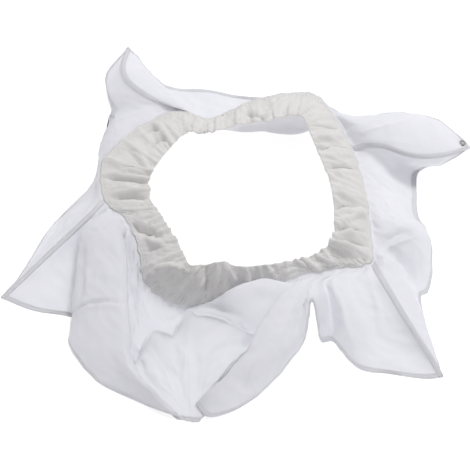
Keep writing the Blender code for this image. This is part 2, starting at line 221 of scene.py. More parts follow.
CUFF_AROUND = 780
CUFF_ROWS = 30
PLEAT_SPACING = 0.0135
PLEAT_SCATTER = 0.45           # in spacings, to either side
PLEAT_HEIGHTS = (0.0015, 0.0060)
PLEAT_WIDTHS = (0.0022, 0.0046)
PLEAT_STARTS = (-0.35, 0.35)
PLEAT_DRIFT = 0.013
PLEAT_TIP = 0.0007
PLEAT_SEED = 11
EDGE_SCALLOP = 0.8
CUFF_CRUMPLE = 0.0006
CUFF_CRUMPLE_LENGTHS = (0.008, 0.028)
CRUMPLE_WAVES = 9
CRUMPLE_BEND = 0.9
CRUMPLE_BEND_LENGTH = 2.7      # in lengths of the crease itself
RIDGE_MEAN = 0.64              # mean height of a row of sharp ridges
STITCH_PUCKER = 0.0006
STITCH_PUCKER_MM = 4.6
PUCKER_STRAY = 2
PUCKER_STRAY_RATE = 180
CUFF_GATHER = 0.07
CUFF_ROUNDS = 40
CUFF_STIFFNESS = 0.008
CUFF_HOLD = 0.05
BIAS_PULL = 0.35               # cloth gives more on the bias than along its threads
CUFF_HEIGHT = 0.05

# Shares of the cuff's height: sewn fast, calm above the seam, and where stitches pucker it
SEWN_SHARE = 0.05
PLEAT_CALM = 0.12
CRUMPLE_CALM = 0.15
PLEAT_GROWTH = 0.5
PUCKER_SHARE = 0.14
PUCKER_SPREAD = 0.1
PLEAT_EMPHASIS = 2.6

# Pleats that stand out, each as a height and a half width in millimetres, then its route in the
# picture; a trough has a negative height
CUFF_PLEATS = {
    "left, shoulder ridge": (4.5, 3.0, (136, 153), (144, 163), (151, 174)),
    "left, upper ridge": (4.5, 3.0, (112, 174), (130, 171), (146, 174)),
    "left, upper trough": (-6.5, 4.0, (111, 179), (130, 179), (147, 181)),
    "left, middle ridge": (4.0, 2.6, (110, 190), (124, 187), (140, 190)),
    "left, lower trough": (-5.5, 4.5, (114, 197), (132, 195), (149, 197)),
    "left, shaded hollow": (-4.5, 6.0, (126, 224), (140, 230), (158, 235)),
    "left, lower crease": (3.5, 2.5, (147, 238), (156, 244), (166, 247)),
    "left back, hollow": (-4.0, 4.0, (142, 133), (152, 128), (162, 131)),
    "left back, ridge": (4.0, 3.0, (152, 120), (164, 133), (173, 146)),
    "left back, second hollow": (-4.0, 4.0, (150, 146), (159, 139), (168, 140)),
    "pinch, left": (3.0, 1.6, (199, 117), (203, 134)),
    "pinch, middle": (3.0, 1.6, (205, 117), (206, 135)),
    "pinch, right": (3.0, 1.6, (212, 117), (209, 134)),
    "back, long fold": (4.5, 2.6, (289, 94), (268, 114), (249, 120)),
    "back, shade under it": (-4.0, 4.5, (243, 112), (255, 115), (264, 120)),
    "back, first fine pleat": (2.6, 1.5, (292, 94), (289, 114)),
    "back, second fine pleat": (2.6, 1.5, (298, 94), (295, 114)),
    "back, third fine pleat": (2.6, 1.5, (304, 94), (300, 114)),
    "right, top slot": (-5.0, 3.0, (309, 125), (322, 125), (338, 127)),
    "right, first ridge": (3.5, 2.6, (317, 140), (332, 137), (346, 137)),
    "right, first trough": (-4.0, 3.0, (318, 148), (333, 146), (349, 147)),
    "right, second ridge": (4.0, 2.6, (321, 158), (338, 155), (354, 154)),
    "right, second trough": (-3.5, 3.4, (325, 168), (340, 165), (356, 167)),
    "right, third ridge": (3.5, 2.6, (326, 180), (340, 172), (359, 174)),
    "right, fork": (4.5, 2.6, (330, 189), (343, 196), (364, 200)),
    "right, fork arm": (3.5, 2.4, (331, 202), (338, 197), (346, 190)),
    "right, third trough": (-4.0, 3.4, (334, 208), (344, 204), (358, 207)),
    "right, fourth ridge": (4.0, 2.6, (333, 213), (348, 211), (368, 216)),
    "right, second fork": (4.0, 2.4, (335, 225), (348, 219), (364, 212)),
    "right, fourth trough": (-4.0, 3.4, (336, 229), (350, 228), (366, 231)),
    "right, fifth ridge": (3.5, 2.6, (334, 235), (350, 233), (369, 238)),
    "right, fifth trough": (-3.5, 3.2, (334, 241), (350, 240), (368, 246)),
    "right, last ridge": (4.0, 2.6, (331, 244), (348, 247), (369, 256)),
    "front left, corner ridge": (5.0, 3.0, (147, 281), (158, 270), (171, 267), (187, 271)),
    "front left, first swell": (3.0, 4.0, (198, 266), (195, 288)),
    "front left, second swell": (3.0, 4.0, (219, 264), (214, 288)),
    "front left, hollow": (-3.0, 4.0, (208, 268), (205, 292)),
    "front, slanted ridge": (3.5, 2.4, (224, 266), (236, 283)),
}


def spline(points, knots, places):
    """Smooth curve through points (along the first axis) at their knots, read at some places."""
    points, knots, places = (np.asarray(each, float) for each in (points, knots, places))
    gaps = np.diff(knots)
    slopes = np.diff(points, axis=0) / gaps.reshape(-1, *[1] * (points.ndim - 1))
    tangents = np.empty_like(points)
    tangents[0], tangents[-1] = slopes[0], slopes[-1]
    share = (gaps[1:] / (gaps[1:] + gaps[:-1])).reshape(-1, *[1] * (points.ndim - 1))
    tangents[1:-1] = slopes[:-1] * share + slopes[1:] * (1 - share)
    first = np.clip(np.searchsorted(knots, places, side="right") - 1, 0, len(knots) - 2)
    gap = gaps[first].reshape(-1, *[1] * (points.ndim - 1))
    part = ((places - knots[first]) / gaps[first]).reshape(gap.shape)
    a, b, ta, tb = points[first], points[first + 1], tangents[first] * gap, tangents[first + 1] * gap
    return (a + ta * part + (3 * (b - a) - 2 * ta - tb) * part ** 2
            + (2 * (a - b) + ta + tb) * part ** 3)


def unit(vectors):
    """Vectors scaled to length one."""
    return vectors / np.maximum(np.linalg.norm(vectors, axis=-1, keepdims=True), 1e-9)


def run_of(points):
    """Distance along a line of points, from its first one."""
    return np.concatenate(([0], np.cumsum(np.linalg.norm(np.diff(points, axis=0), axis=-1))))


ring_knots = np.arange(-WRAP, STATIONS + WRAP + 1)
ring_spots = np.array([[spot(*seam), spot(*edge)] for seam, edge in RING])[ring_knots % STATIONS]


def ring_at(places):
    """Seam point, elastic-edge point and outward direction at places along the stations."""
    places = np.asarray(places, float) % STATIONS
    lines = spline(ring_spots, ring_knots, places)
    ahead, behind = (spline(ring_spots, ring_knots, places + nudge) for nudge in (RING_NUDGE, -RING_NUDGE))
    run = (ahead - behind).sum(1)
    step = lines[:, 1] - lines[:, 0]
    waver = sum(np.sin(2 * math.pi * places * waves / STATIONS + waves) for waves in SEAM_WAVES)
    seam = lines[:, 0] + unit(step) * (waver * SEAM_WAVER)[:, None]
    return seam, lines[:, 1], unit(np.cross(run, step))


def normals_of(grid, closed=False):
    """Directions square to a grid of cloth at its points."""
    if closed:
        along = np.roll(grid, -1, 0) - np.roll(grid, 1, 0)
    else:
        along = np.gradient(grid, axis=0)
    return unit(np.cross(along, np.gradient(grid, axis=1)))


# How a route of pixels is laid on the cloth, in pixels, and where a crease ends
TRACE_STEP = 1.5
TRACE_REACH = 2.4
TRACE_SLACK = 0.1
TRACE_SMOOTH = 5
CREASE_ENDS = (0.03, 0.97)
CREASE_TURN = -0.3             # cloth that faces further from the camera than this has no crease


def traced(grid, route):
    """Points on a grid of cloth that the camera sees along a route of pixels."""
    column, row, far = pixels(grid)
    route = np.array(route, float)
    run = run_of(route)
    steps = np.linspace(0, run[-1], math.ceil(run[-1] / TRACE_STEP) + 1)
    columns, rows = (np.interp(steps, run, route[:, axis]) for axis in (0, 1))
    depths = []
    for one_column, one_row in zip(columns, rows):
        apart = np.hypot(column - one_column, row - one_row)
        depths.append(np.where(apart < max(TRACE_REACH, apart.min() + TRACE_SLACK), far, np.inf).min())
    smooth = np.full(TRACE_SMOOTH, 1 / TRACE_SMOOTH)
    depths = np.convolve(np.pad(depths, TRACE_SMOOTH // 2, "edge"), smooth, "valid")
    across = (columns - PICTURE / 2) * PIXEL / DISTANCE
    up = (PICTURE / 2 - rows) * PIXEL / DISTANCE
    return eye + (across[:, None] * rightward + up[:, None] * upward - away) * depths[:, None]


def crease(grid, normals, height, width, *route):
    """Rise of a grid along a ridge, or fall along a trough, that the camera sees on a route of pixels."""
    line = traced(grid, route)
    apart = np.linalg.norm(grid[:, :, None] - line, axis=-1)
    nearest = apart.argmin(-1)
    apart = apart.min(-1)
    taper = np.sqrt(np.sin(np.pi * np.clip(nearest / (len(line) - 1), *CREASE_ENDS)))
    if height < 0:
        shape = np.exp(-(apart / (width / 1000)) ** 2)
    else:
        shape = np.exp(-(np.hypot(apart, PLEAT_TIP) - PLEAT_TIP) / (width / 1000))
    return height / 1000 * taper * shape * (normals @ away > CREASE_TURN)


def settle(grid, along_extra, down_extra, hold, rounds, stiffness, closed=False):
    """Let a grid of cloth settle: threads take their own lengths, and the cloth buckles to fit.

    The extras are the shares by which the threads in the two directions are longer than the grid
    makes them, hold is how firmly each point keeps its place, and stiffness smooths tight folds.
    """
    start = grid
    grid = grid.copy()
    columns, rows = grid.shape[:2]
    steps = np.arange(columns if closed else columns - 1)
    ahead = (steps + 1) % columns
    level = np.arange(rows - 1)
    along = np.linalg.norm(grid[ahead] - grid[steps], axis=2) * (1 + along_extra[steps])
    down = np.linalg.norm(np.diff(grid, axis=1), axis=2) * (1 + down_extra[:, 1:])
    lean = [np.linalg.norm(grid[ahead][:, level + 1 - side] - grid[steps][:, level + side], axis=2)
            * (1 + (along_extra + down_extra)[steps, 1:] / 2) for side in (0, 1)]

    def fit(first, second, rest, pull):
        """Move two sets of points towards their distance apart."""
        step = grid[second] - grid[first]
        length = np.linalg.norm(step, axis=-1)
        step *= (pull / 2 * (1 - rest / np.maximum(length, 1e-9)))[..., None]
        grid[first] += step
        grid[second] -= step

    for _ in range(rounds):
        for first in (0, 1):
            near, far = steps[first::2], ahead[first::2]
            fit(near, far, along[near], 1.0)
            upper = level[first::2]
            fit((slice(None), upper), (slice(None), upper + 1), down[:, upper], 1.0)
            for side in (0, 1):
                fit((near[:, None], level + side), (far[:, None], level + 1 - side), lean[side][near],
                    BIAS_PULL)
        if closed:
            grid += ((np.roll(grid, 1, 0) + np.roll(grid, -1, 0)) / 2 - grid) * stiffness
        else:
            grid[1:-1] += ((grid[2:] + grid[:-2]) / 2 - grid[1:-1]) * stiffness
        grid[:, 1:-1] += ((grid[:, 2:] + grid[:, :-2]) / 2 - grid[:, 1:-1]) * stiffness
        grid += (start - grid) * hold[..., None]
    return grid


def crumple(across, down, lengths, rng):
    """Uneven creases over flat cloth: sharp ridges that cross each other, about zero on the whole."""
    total = 0
    for _ in range(CRUMPLE_WAVES):
        length = rng.uniform(*lengths)
        heading, phase, bend = rng.uniform(0, 2 * math.pi, 3)
        ahead = across * math.cos(heading) + down * math.sin(heading)
        beside = down * math.cos(heading) - across * math.sin(heading)
        wander = CRUMPLE_BEND * np.sin(2 * math.pi * beside / (CRUMPLE_BEND_LENGTH * length) + bend)
        total = total + RIDGE_MEAN - np.abs(np.sin(math.pi * ahead / length + phase + wander))
    return total / math.sqrt(CRUMPLE_WAVES) * 2


cuff_seam, cuff_edge, cuff_out = ring_at(np.arange(CUFF_AROUND) * STATIONS / CUFF_AROUND)
cuff_rise = cuff_edge - cuff_seam
cuff_shares = np.linspace(0, 1, CUFF_ROWS)
flat_cuff = cuff_seam[:, None] + cuff_rise[:, None] * cuff_shares[:, None]
edge_run = run_of(cuff_edge)
edge_length = edge_run[-1] + np.linalg.norm(cuff_edge[0] - cuff_edge[-1])
seam_run = run_of(cuff_seam)

rng = np.random.default_rng(PLEAT_SEED)
pleat_count = round(edge_length / PLEAT_SPACING)
lift = np.zeros(flat_cuff.shape[:2])
for number in range(pleat_count):
    middle = (number + rng.uniform(-PLEAT_SCATTER, PLEAT_SCATTER)) * edge_length / pleat_count
    drift = PLEAT_DRIFT * rng.uniform(-1, 1)
    low = rng.uniform(*PLEAT_STARTS)
    width = rng.uniform(*PLEAT_WIDTHS)
    apart = edge_run[:, None] - middle - drift * (1 - cuff_shares)
    apart = (apart + edge_length / 2) % edge_length - edge_length / 2
    rise = np.clip((cuff_shares - low) / PLEAT_GROWTH, 0, 1)
    lift += (rng.uniform(*PLEAT_HEIGHTS) * rise ** 2 * (3 - 2 * rise)
             * np.exp(-(np.hypot(apart, PLEAT_TIP) - PLEAT_TIP) / width))
lift -= lift.mean(0)
stray = PUCKER_STRAY * np.sin(PUCKER_STRAY_RATE * seam_run)
puckers = np.sin(2000 * math.pi / STITCH_PUCKER_MM * seam_run + stray)
lift += STITCH_PUCKER * puckers[:, None] * np.exp(-((cuff_shares - PUCKER_SHARE) / PUCKER_SPREAD) ** 2)
uneven = crumple(seam_run[:, None], cuff_shares * CUFF_HEIGHT, CUFF_CRUMPLE_LENGTHS, rng)
lift += CUFF_CRUMPLE * uneven * np.clip(cuff_shares / CRUMPLE_CALM, 0, 1)
above_seam = np.clip(cuff_shares / PLEAT_CALM, 0, 1)
cuff_normals = np.broadcast_to(cuff_out[:, None], flat_cuff.shape)
for height, width, *route in CUFF_PLEATS.values():
    lift += PLEAT_EMPHASIS * crease(flat_cuff, cuff_normals, height, width, *route) * above_seam
cuff = flat_cuff + cuff_normals * lift[..., None]
cuff += unit(cuff_rise)[:, None] * (lift * EDGE_SCALLOP * cuff_shares ** 4)[..., None]
gather = np.broadcast_to(CUFF_GATHER * cuff_shares, lift.shape)
hold = np.broadcast_to(np.where(cuff_shares < SEWN_SHARE, 1.0, CUFF_HOLD), lift.shape)
cuff = settle(cuff, gather, np.zeros_like(gather), hold, CUFF_ROUNDS, CUFF_STIFFNESS, closed=True)

# Elastic
# A flat knitted elastic, drawn round the opening inside the folded edge of the casing. It is white
# polyester over rubber, sewn to itself end to end, and nothing else fixes it.
ELASTIC_WIDTH = 0.010
ELASTIC_THICKNESS = 0.0010
ELASTIC_TOP = 0.90
ELASTIC_COLOUR = "#E9E8E4"
KNIT_RIB_MM = 1.6
WAVES_AT_SCALE_ONE = 20        # radians that Blender's wave texture turns over one unit


def quads(first, second, loop_first=False, loop_second=False):
    """Quads of a grid of points, which may close on itself along either direction."""
    here = np.arange(first if loop_first else first - 1)[:, None]
    level = np.arange(second if loop_second else second - 1)
    there = (here + 1) % first
    above = (level + 1) % second
    return np.stack(np.broadcast_arrays(here * second + level, there * second + level,
                                        there * second + above, here * second + above), -1).reshape(-1, 4)


def cuff_at(share):
    """Ring of points on the cuff's surface at a share of its height."""
    place = share * (CUFF_ROWS - 1)
    first = np.minimum(place.astype(int), CUFF_ROWS - 2)
    part = (place - first)[:, None]
    around = np.arange(CUFF_AROUND)
    return cuff[around, first] * (1 - part) + cuff[around, first + 1] * part


def wave_scale(length_mm):
    """Scale of a wave texture on a map in metres, for a real distance between its bands."""
    return 2 * math.pi / WAVES_AT_SCALE_ONE * 1000 / length_mm


knit, output = new_material("knitted_elastic")
tree = knit.node_tree
place = add_node(tree, "ShaderNodeTexCoord")
ribs = add_node(tree, "ShaderNodeTexWave", {"Vector": place.outputs["UV"], "Scale": wave_scale(KNIT_RIB_MM),
                                            "Distortion": 0.4})
relief = add_node(tree, "ShaderNodeBump", {
    "Height": ribs.outputs["Fac"], "Strength": 0.5, "Distance": 0.0003})
shader = add_node(tree, "ShaderNodeBsdfPrincipled", {
    "Base Color": linear(ELASTIC_COLOUR), "Roughness": 0.8, "Normal": relief.outputs[0]})
tree.links.new(shader.outputs[0], output.inputs["Surface"])

top = cuff_at(np.full(CUFF_AROUND, ELASTIC_TOP))
low = cuff_at(ELASTIC_TOP - ELASTIC_WIDTH / np.linalg.norm(cuff_rise, axis=1))
half = unit(np.cross(np.roll(top, -1, 0) - np.roll(top, 1, 0), top - low)) * ELASTIC_THICKNESS / 2
elastic = add_mesh("elastic_ribbon", np.stack((top + half, top - half, low - half, low + half), 1),
                   quads(CUFF_AROUND, 4, True, True), knit)
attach(elastic, "root")
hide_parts("elastic_band")

# Casing
# A straight strip of cotton folded in two over the elastic, its open mouth sewn round the top of
# the skirt. The elastic draws the fold in, so the cloth is thrown into pleats that die out
# towards the seam.
CASING_LAYER = 0.0004
CASING_HALF_MOUTH = 0.0009
CASING_HALF_FOLD = 0.0011
CASING_HALF_BULGE = 0.0012
FOLD_STEPS = 3
CASING_COLOUR = "#F7F6F5"
CASING_SHADE = "#EDEBEA"
THREAD_MM = 0.45
WEAVE_COARSER = 3
SLUB_MM = 28
COTTON_ROUGHNESS = 0.9
CASING_THROUGH = 0.15


def cotton(name, colour, shade, through):
    """Thin plain-woven cotton: matt and slubby, with some light coming through.

    The weave is drawn three times as coarse as the thread so that it shows close up.
    """
    material, output = new_material(name)
    tree = material.node_tree
    place = add_node(tree, "ShaderNodeTexCoord").outputs["UV"]
    heights = []
    for direction in ("X", "Y"):
        heights.append(add_node(tree, "ShaderNodeTexWave", {
            "Vector": place, "Scale": wave_scale(WEAVE_COARSER * THREAD_MM), "Distortion": 0.6, "Detail": 1.0,
            "Detail Scale": 0.5}, bands_direction=direction).outputs["Fac"])
    weave = add_node(tree, "ShaderNodeMath", {0: heights[0], 1: heights[1]}, operation="ADD")
    relief = add_node(tree, "ShaderNodeBump", {
        "Height": weave.outputs[0], "Strength": 0.15, "Distance": 0.0002})
    slubs = add_node(tree, "ShaderNodeTexNoise", {"Vector": place, "Scale": 1000 / SLUB_MM, "Detail": 4.0})
    # 6 and 7 are the two inputs of a mix of colours, and 2 is what it gives
    tint = add_node(tree, "ShaderNodeMix", {
        0: slubs.outputs["Fac"], 6: linear(shade), 7: linear(colour)}, data_type="RGBA")
    front = add_node(tree, "ShaderNodeBsdfPrincipled", {
        "Base Color": tint.outputs[2], "Roughness": COTTON_ROUGHNESS, "Specular IOR Level": 0.2,
        "Sheen Weight": 0.1, "Sheen Roughness": 0.6, "Normal": relief.outputs[0]})
    back = add_node(tree, "ShaderNodeBsdfTranslucent", {
        "Color": tint.outputs[2], "Normal": relief.outputs[0]})
    mix = add_node(tree, "ShaderNodeMixShader", {0: through, 1: front.outputs[0], 2: back.outputs[0]})
    tree.links.new(mix.outputs[0], output.inputs["Surface"])
    return material


def lay_uv(item, along, across):
    """UV map in metres: where each point of the cloth's grid is on the flat cloth, along and across."""
    flat = np.stack(np.broadcast_arrays(along, across), -1).reshape(-1, 2)
    corners = np.empty(len(item.data.loops), int)
    item.data.loops.foreach_get("vertex_index", corners)
    item.data.uv_layers.new(name="flat_cloth").data.foreach_set("uv", flat[corners].ravel())


def thicken(item, thickness):
    """Give a single sheet its thickness, half to each side."""
    shell = item.modifiers.new("cloth", "SOLIDIFY")
    shell.thickness = thickness
    shell.offset = 0.0
    shell.use_quality_normals = True


facing = normals_of(cuff, closed=True)
half = (CASING_HALF_MOUTH + (CASING_HALF_FOLD - CASING_HALF_MOUTH) * cuff_shares
        + CASING_HALF_BULGE * 4 * cuff_shares * (1 - cuff_shares))
outer = cuff + facing * half[:, None]
inner = cuff - facing * half[:, None]
tip = unit(cuff[:, -1] - cuff[:, -2])
fold = [cuff[:, -1] + CASING_HALF_FOLD * (facing[:, -1] * math.cos(turn) + tip * math.sin(turn))
        for turn in np.linspace(0, math.pi, FOLD_STEPS + 2)[1:-1]]
grid = np.concatenate((outer, np.stack(fold, 1), inner[:, ::-1]), 1)
casing_cotton = cotton("casing_plain_cotton", CASING_COLOUR, CASING_SHADE, CASING_THROUGH)
casing = add_mesh("cuff_cloth", grid, quads(CUFF_AROUND, grid.shape[1], True), casing_cotton)
casing_width = np.concatenate(([0], np.cumsum(np.linalg.norm(np.diff(grid, axis=1), axis=2).mean(0))))
lay_uv(casing, seam_run[:, None], casing_width)
thicken(casing, CASING_LAYER)
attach(casing, "root")
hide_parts("cuff_casing")

STITCH_STAND = 0.0004
SEAM_STITCH_LEVELS = (1, 3)    # rows of the cuff's grid
thread_rows = []
for level in SEAM_STITCH_LEVELS:
    for layer, way in ((outer, 1), (inner, -1)):
        row = layer[:, level] + facing[:, level] * way * STITCH_STAND
        thread_rows.append(np.concatenate((row, row[:1])))

# Skirt
# Four flared panels of one thin cotton, sewn to each other at the corners and, at the top, into
# the mouth of the casing. Their lower edges are turned up and sewn into a narrow hem.
CLOTH = 0.0004
GRAINS = {"left": 0.0023, "front": 0.0034, "right": 0.0023, "back": 0.0023}
SEAM_TUCK = 0.005
SEAM_RUN = 0.003
SKIRT_COLOUR = "#F7F7F9"
SKIRT_SHADE = "#F0F0F4"
SKIRT_THROUGH = 0.45
SKIRT_ROUNDS = 30
SKIRT_STIFFNESS = 0.012
SKIRT_HOLD = 0.06
SKIRT_EXTRA = 0.012
PUCKER_EXTRA = 0.10
PUCKER_REACH = 0.022
SKIRT_CRUMPLE = 0.0008
SKIRT_CRUMPLE_LENGTHS = (0.018, 0.075)
CLOSE_COLUMNS = 0.0016
CREASE_EMPHASIS = 1.9
SKIRT_SEED = 5
HEM = 0.007
HEM_RISE = 0.0004
HEM_LIP = 0.0005
EYELET_SEAT = 0.0014           # flange face above the middle of the cloth
EYELET_PRESS = (0.0065, 0.016)
EYELET_HOLE = 0.0027
EYELET_REACH = 0.012
SEWN_ROWS = 5
CALM_AT_SEAM = 0.03
CALM_AT_CORNER = 0.02
STITCH_INSET = 0.0012

# Ribs of each panel: place along the stations, then six spots from near the seam to the hem
LEFT_BACK_SEAM = ((166, 105, 42), (152, 98, 48), (138, 89, 52), (126, 79, 55), (122, 66, 58), (128, 47, 58))
LEFT_FRONT_SEAM = ((90, 214, 30), (74, 229, 27), (56, 246, 21), (38, 263, 14), (20, 280, 7), (1, 298, 1))
RIGHT_FRONT_SEAM = (
    (381, 276, 33), (393, 296, 33), (405, 316, 29), (418, 337, 22), (431, 357, 12), (443, 377, 1))
RIGHT_BACK_SEAM = (
    (368, 145, 46), (386, 147, 51), (404, 154, 51), (424, 157, 48), (447, 155, 44), (470, 149, 40))
LEFT_RIBS = {
    "back seam": (1, *LEFT_BACK_SEAM),
    "ear, near side": (
        1.7, (150, 108, 38), (138, 105, 36), (128, 100, 34), (118, 94, 33), (110, 86, 34), (106, 76, 38)),
    "turned under, back": (
        2.4, (127, 125, 24), (119, 119, 12), (113, 116, 4), (110, 116, 0), (113, 122, 0), (118, 130, 0)),
    "turned under, middle": (
        3.2, (107, 147, 22), (102, 145, 10), (100, 146, 2), (102, 150, 0), (108, 156, 0), (115, 162, 0)),
    "turned under, front": (
        4.0, (97, 171, 20), (96, 175, 8), (97, 178, 1), (100, 180, 0), (107, 182, 0), (115, 186, 0)),
    "flap, far foot": (
        4.5, (94, 190, 20), (85, 195, 10), (77, 201, 4), (70, 207, 1), (64, 213, 0), (58, 220, 0)),
    "flap, far slope": (
        4.8, (90, 206, 22), (74, 220, 13), (60, 232, 7), (46, 246, 3), (34, 259, 1), (22, 272, 0)),
    "front seam": (5, *LEFT_FRONT_SEAM),
}
FRONT_RIBS = {
    "left seam": (5, *LEFT_FRONT_SEAM),
    "flap, near slope": (
        5.1, (92, 221, 24), (78, 240, 17), (64, 262, 11), (52, 282, 6), (43, 298, 2), (34, 311, 0)),
    "flap, inner edge": (
        5.2, (94, 226, 18), (85, 246, 11), (79, 266, 7), (75, 286, 4), (72, 303, 1), (70, 317, 0)),
    "tuck under the fold": (
        5.3, (100, 238, 8), (97, 262, 3), (95, 284, 1), (93, 304, 0), (92, 318, 0), (92, 328, 0)),
    "large fold, left side": (
        5.45, (84, 228, 32), (78, 255, 27), (75, 283, 22), (72, 310, 16), (70, 330, 9), (69, 343, 2)),
    "large fold, left shoulder": (
        5.65, (92, 224, 44), (89, 255, 44), (87, 288, 41), (87, 320, 34), (88, 352, 20), (97, 381, 1)),
    "large fold, crest": (
        5.9, (106, 222, 46), (107, 255, 50), (107, 292, 48), (108, 330, 40), (114, 366, 24), (134, 400, 1)),
    "large fold, right shoulder": (
        6.2, (119, 227, 44), (122, 256, 49), (123, 290, 48), (124, 328, 42), (130, 366, 30), (172, 415, 5)),
    "large fold, right edge": (
        6.4, (124, 235, 36), (127, 263, 40), (127.5, 293, 39), (129, 331, 33), (136, 369, 20), (180, 417, 3)),
    "under the right edge": (
        6.6, (119, 247, 15), (121, 276, 15), (122, 307, 13), (124, 345, 9), (133, 381, 5), (177, 419, 1)),
    "hollow, left": (
        7.2, (136, 284, 9), (132, 320, 2), (131, 365, 12), (132, 368, 11), (150, 394, 8), (183, 420, 2)),
    "bowl rim, left rise": (
        7.9, (140, 300, 5), (141, 352, 1), (144, 345, 21), (145, 348, 20), (157, 383, 9), (184, 420, 2)),
    "bowl rim, left corner": (
        8.6, (150, 313, 2), (153, 340, 1), (155, 330, 27), (156, 333, 26), (165, 373, 10), (185, 420, 2)),
    "bowl rim, left top": (
        9.1, (160, 318, 2), (164, 341, 1), (165, 332.5, 24), (165, 335.5, 23), (171, 372, 9), (186, 421, 2)),
    "bowl rim, notch": (
        9.5, (169, 320, 2), (172, 343, 1), (172.5, 335.5, 20), (173, 338.5, 19), (177, 372, 8),
        (188, 421, 2)),
    "bowl rim, rise": (
        9.9, (179, 312, 3), (180, 336, 1), (180, 324, 25), (180.5, 327.5, 24), (182, 370, 9), (189, 421, 2)),
    "bowl rim, peak": (
        10.2, (187, 308, 5), (188, 326, 1), (189, 309, 32), (189.5, 312.5, 31), (188, 366, 11),
        (190, 421, 2)),
    "bowl rim, dip": (
        10.5, (194, 306, 7), (196, 330, 1), (196, 315, 29), (196.5, 318, 28), (193, 366, 12), (192, 422, 2)),
    "bowl rim, right": (
        10.9, (209, 302, 12), (212, 330, 2), (212, 316, 28), (211.5, 319.5, 27), (202, 366, 13),
        (194, 422, 2)),
    "bowl rim, right slope": (
        11.5, (233, 289, 34), (234, 336, 4), (234, 325, 25), (233, 328.5, 24), (214, 370, 13), (197, 422, 2)),
    "bowl rim, right end": (
        12.1, (262, 280, 36), (258, 336, 10), (253, 334, 24), (251, 338, 22), (228, 372, 12), (200, 421, 2)),
    "under the second fold": (
        12.6, (298, 285, 28), (287, 309, 18), (274, 331, 14), (261, 356, 12), (243, 374, 9), (203, 413, 2)),
    "second fold, left edge": (
        12.85, (299, 279, 36), (281, 297, 41), (264, 318, 41), (250, 344, 37), (232, 363, 29), (196, 404, 8)),
    "second fold, crest": (
        13.0, (302, 282, 37), (288, 303, 45), (271, 328, 44), (256, 353, 38), (238, 378, 25), (208, 417, 3)),
    "second fold, face": (
        13.15, (305, 283, 38), (295, 304, 47), (281, 331, 44), (268, 357, 34), (253, 382, 18), (233, 411, 2)),
    "second fold, right": (
        13.3, (307, 284, 39), (302, 302, 50), (294, 325, 46), (286, 347, 36), (276, 368, 19), (263, 391, 2)),
    "arch, left leg": (
        13.45, (309, 283, 39), (306, 297, 50), (305, 312, 50), (304, 327, 44), (302, 340, 28),
        (299, 350, 10)),
    "arch, left haunch": (
        13.6, (312, 282, 39), (309, 291, 50), (306, 300, 53), (303, 307, 49), (304, 318, 40), (307, 331, 24)),
    "arch, top": (
        13.75, (315, 280, 38), (313, 288, 48), (313, 294, 52), (312, 298, 53), (312, 300, 51),
        (312, 302, 47)),
    "arch, right leg": (
        13.9, (319, 280, 36), (319, 290, 44), (319, 299, 45), (319, 309, 38), (320, 324, 23), (321, 341, 2)),
    "pleat, valley": (
        14.05, (325, 282, 27), (328, 296, 27), (330, 309, 23), (331, 321, 16), (332, 332, 8), (333, 342, 0)),
    "pleat, ridge": (
        14.25, (334, 282, 36), (341, 299, 40), (346, 317, 36), (350, 334, 27), (354, 350, 14), (358, 368, 2)),
    "right flap, valley": (
        14.55, (349, 283, 27), (358, 303, 24), (366, 322, 17), (374, 340, 9), (381, 357, 3), (388, 374, 0)),
    "right flap": (
        14.8, (368, 279, 28), (379, 298, 25), (391, 318, 20), (403, 338, 12), (414, 357, 5), (426, 379, 0)),
    "right seam": (15, *RIGHT_FRONT_SEAM),
}
RIGHT_RIBS = {
    "front seam": (15, *RIGHT_FRONT_SEAM),
    "corner, far slope": (
        15.25, (386, 259, 34), (401, 268, 31), (412, 288, 25), (422, 314, 17), (431, 340, 8), (438, 362, 0)),
    "valley": (
        15.5, (386, 254, 22), (398, 263, 12), (407, 277, 5), (413, 287, 1), (417, 294, 0), (421, 299, 0)),
    "lobe, front": (
        15.8, (384, 241, 29), (398, 246, 29), (410, 255, 22), (419, 270, 11), (424, 283, 3), (428, 292, 0)),
    "lobe, middle": (
        16.1, (384, 230, 35), (398, 233, 39), (412, 239, 35), (422, 249, 25), (428, 262, 11), (432, 276, 0)),
    "lobe, back": (
        16.4, (384, 221, 36), (398, 223, 43), (410, 225, 43), (420, 228, 34), (428, 235, 18), (432, 243, 3)),
    "slope, front": (
        16.8, (380, 208, 26), (392, 213, 21), (402, 216, 14), (410, 217, 7), (415, 217, 2), (419, 217, 0)),
    "slope, middle": (
        17.4, (376, 188, 25), (388, 190, 19), (398, 192, 12), (406, 195, 6), (412, 197, 2), (417, 198, 0)),
    "slope, back": (
        18.2, (370, 164, 29), (382, 166, 23), (394, 168, 15), (404, 169, 8), (413, 170, 3), (421, 171, 0)),
    "ear, under side": (
        18.7, (368, 152, 36), (384, 153, 36), (398, 158, 34), (412, 164, 32), (430, 165, 30), (450, 161, 30)),
    "back seam": (19, *RIGHT_BACK_SEAM),
}
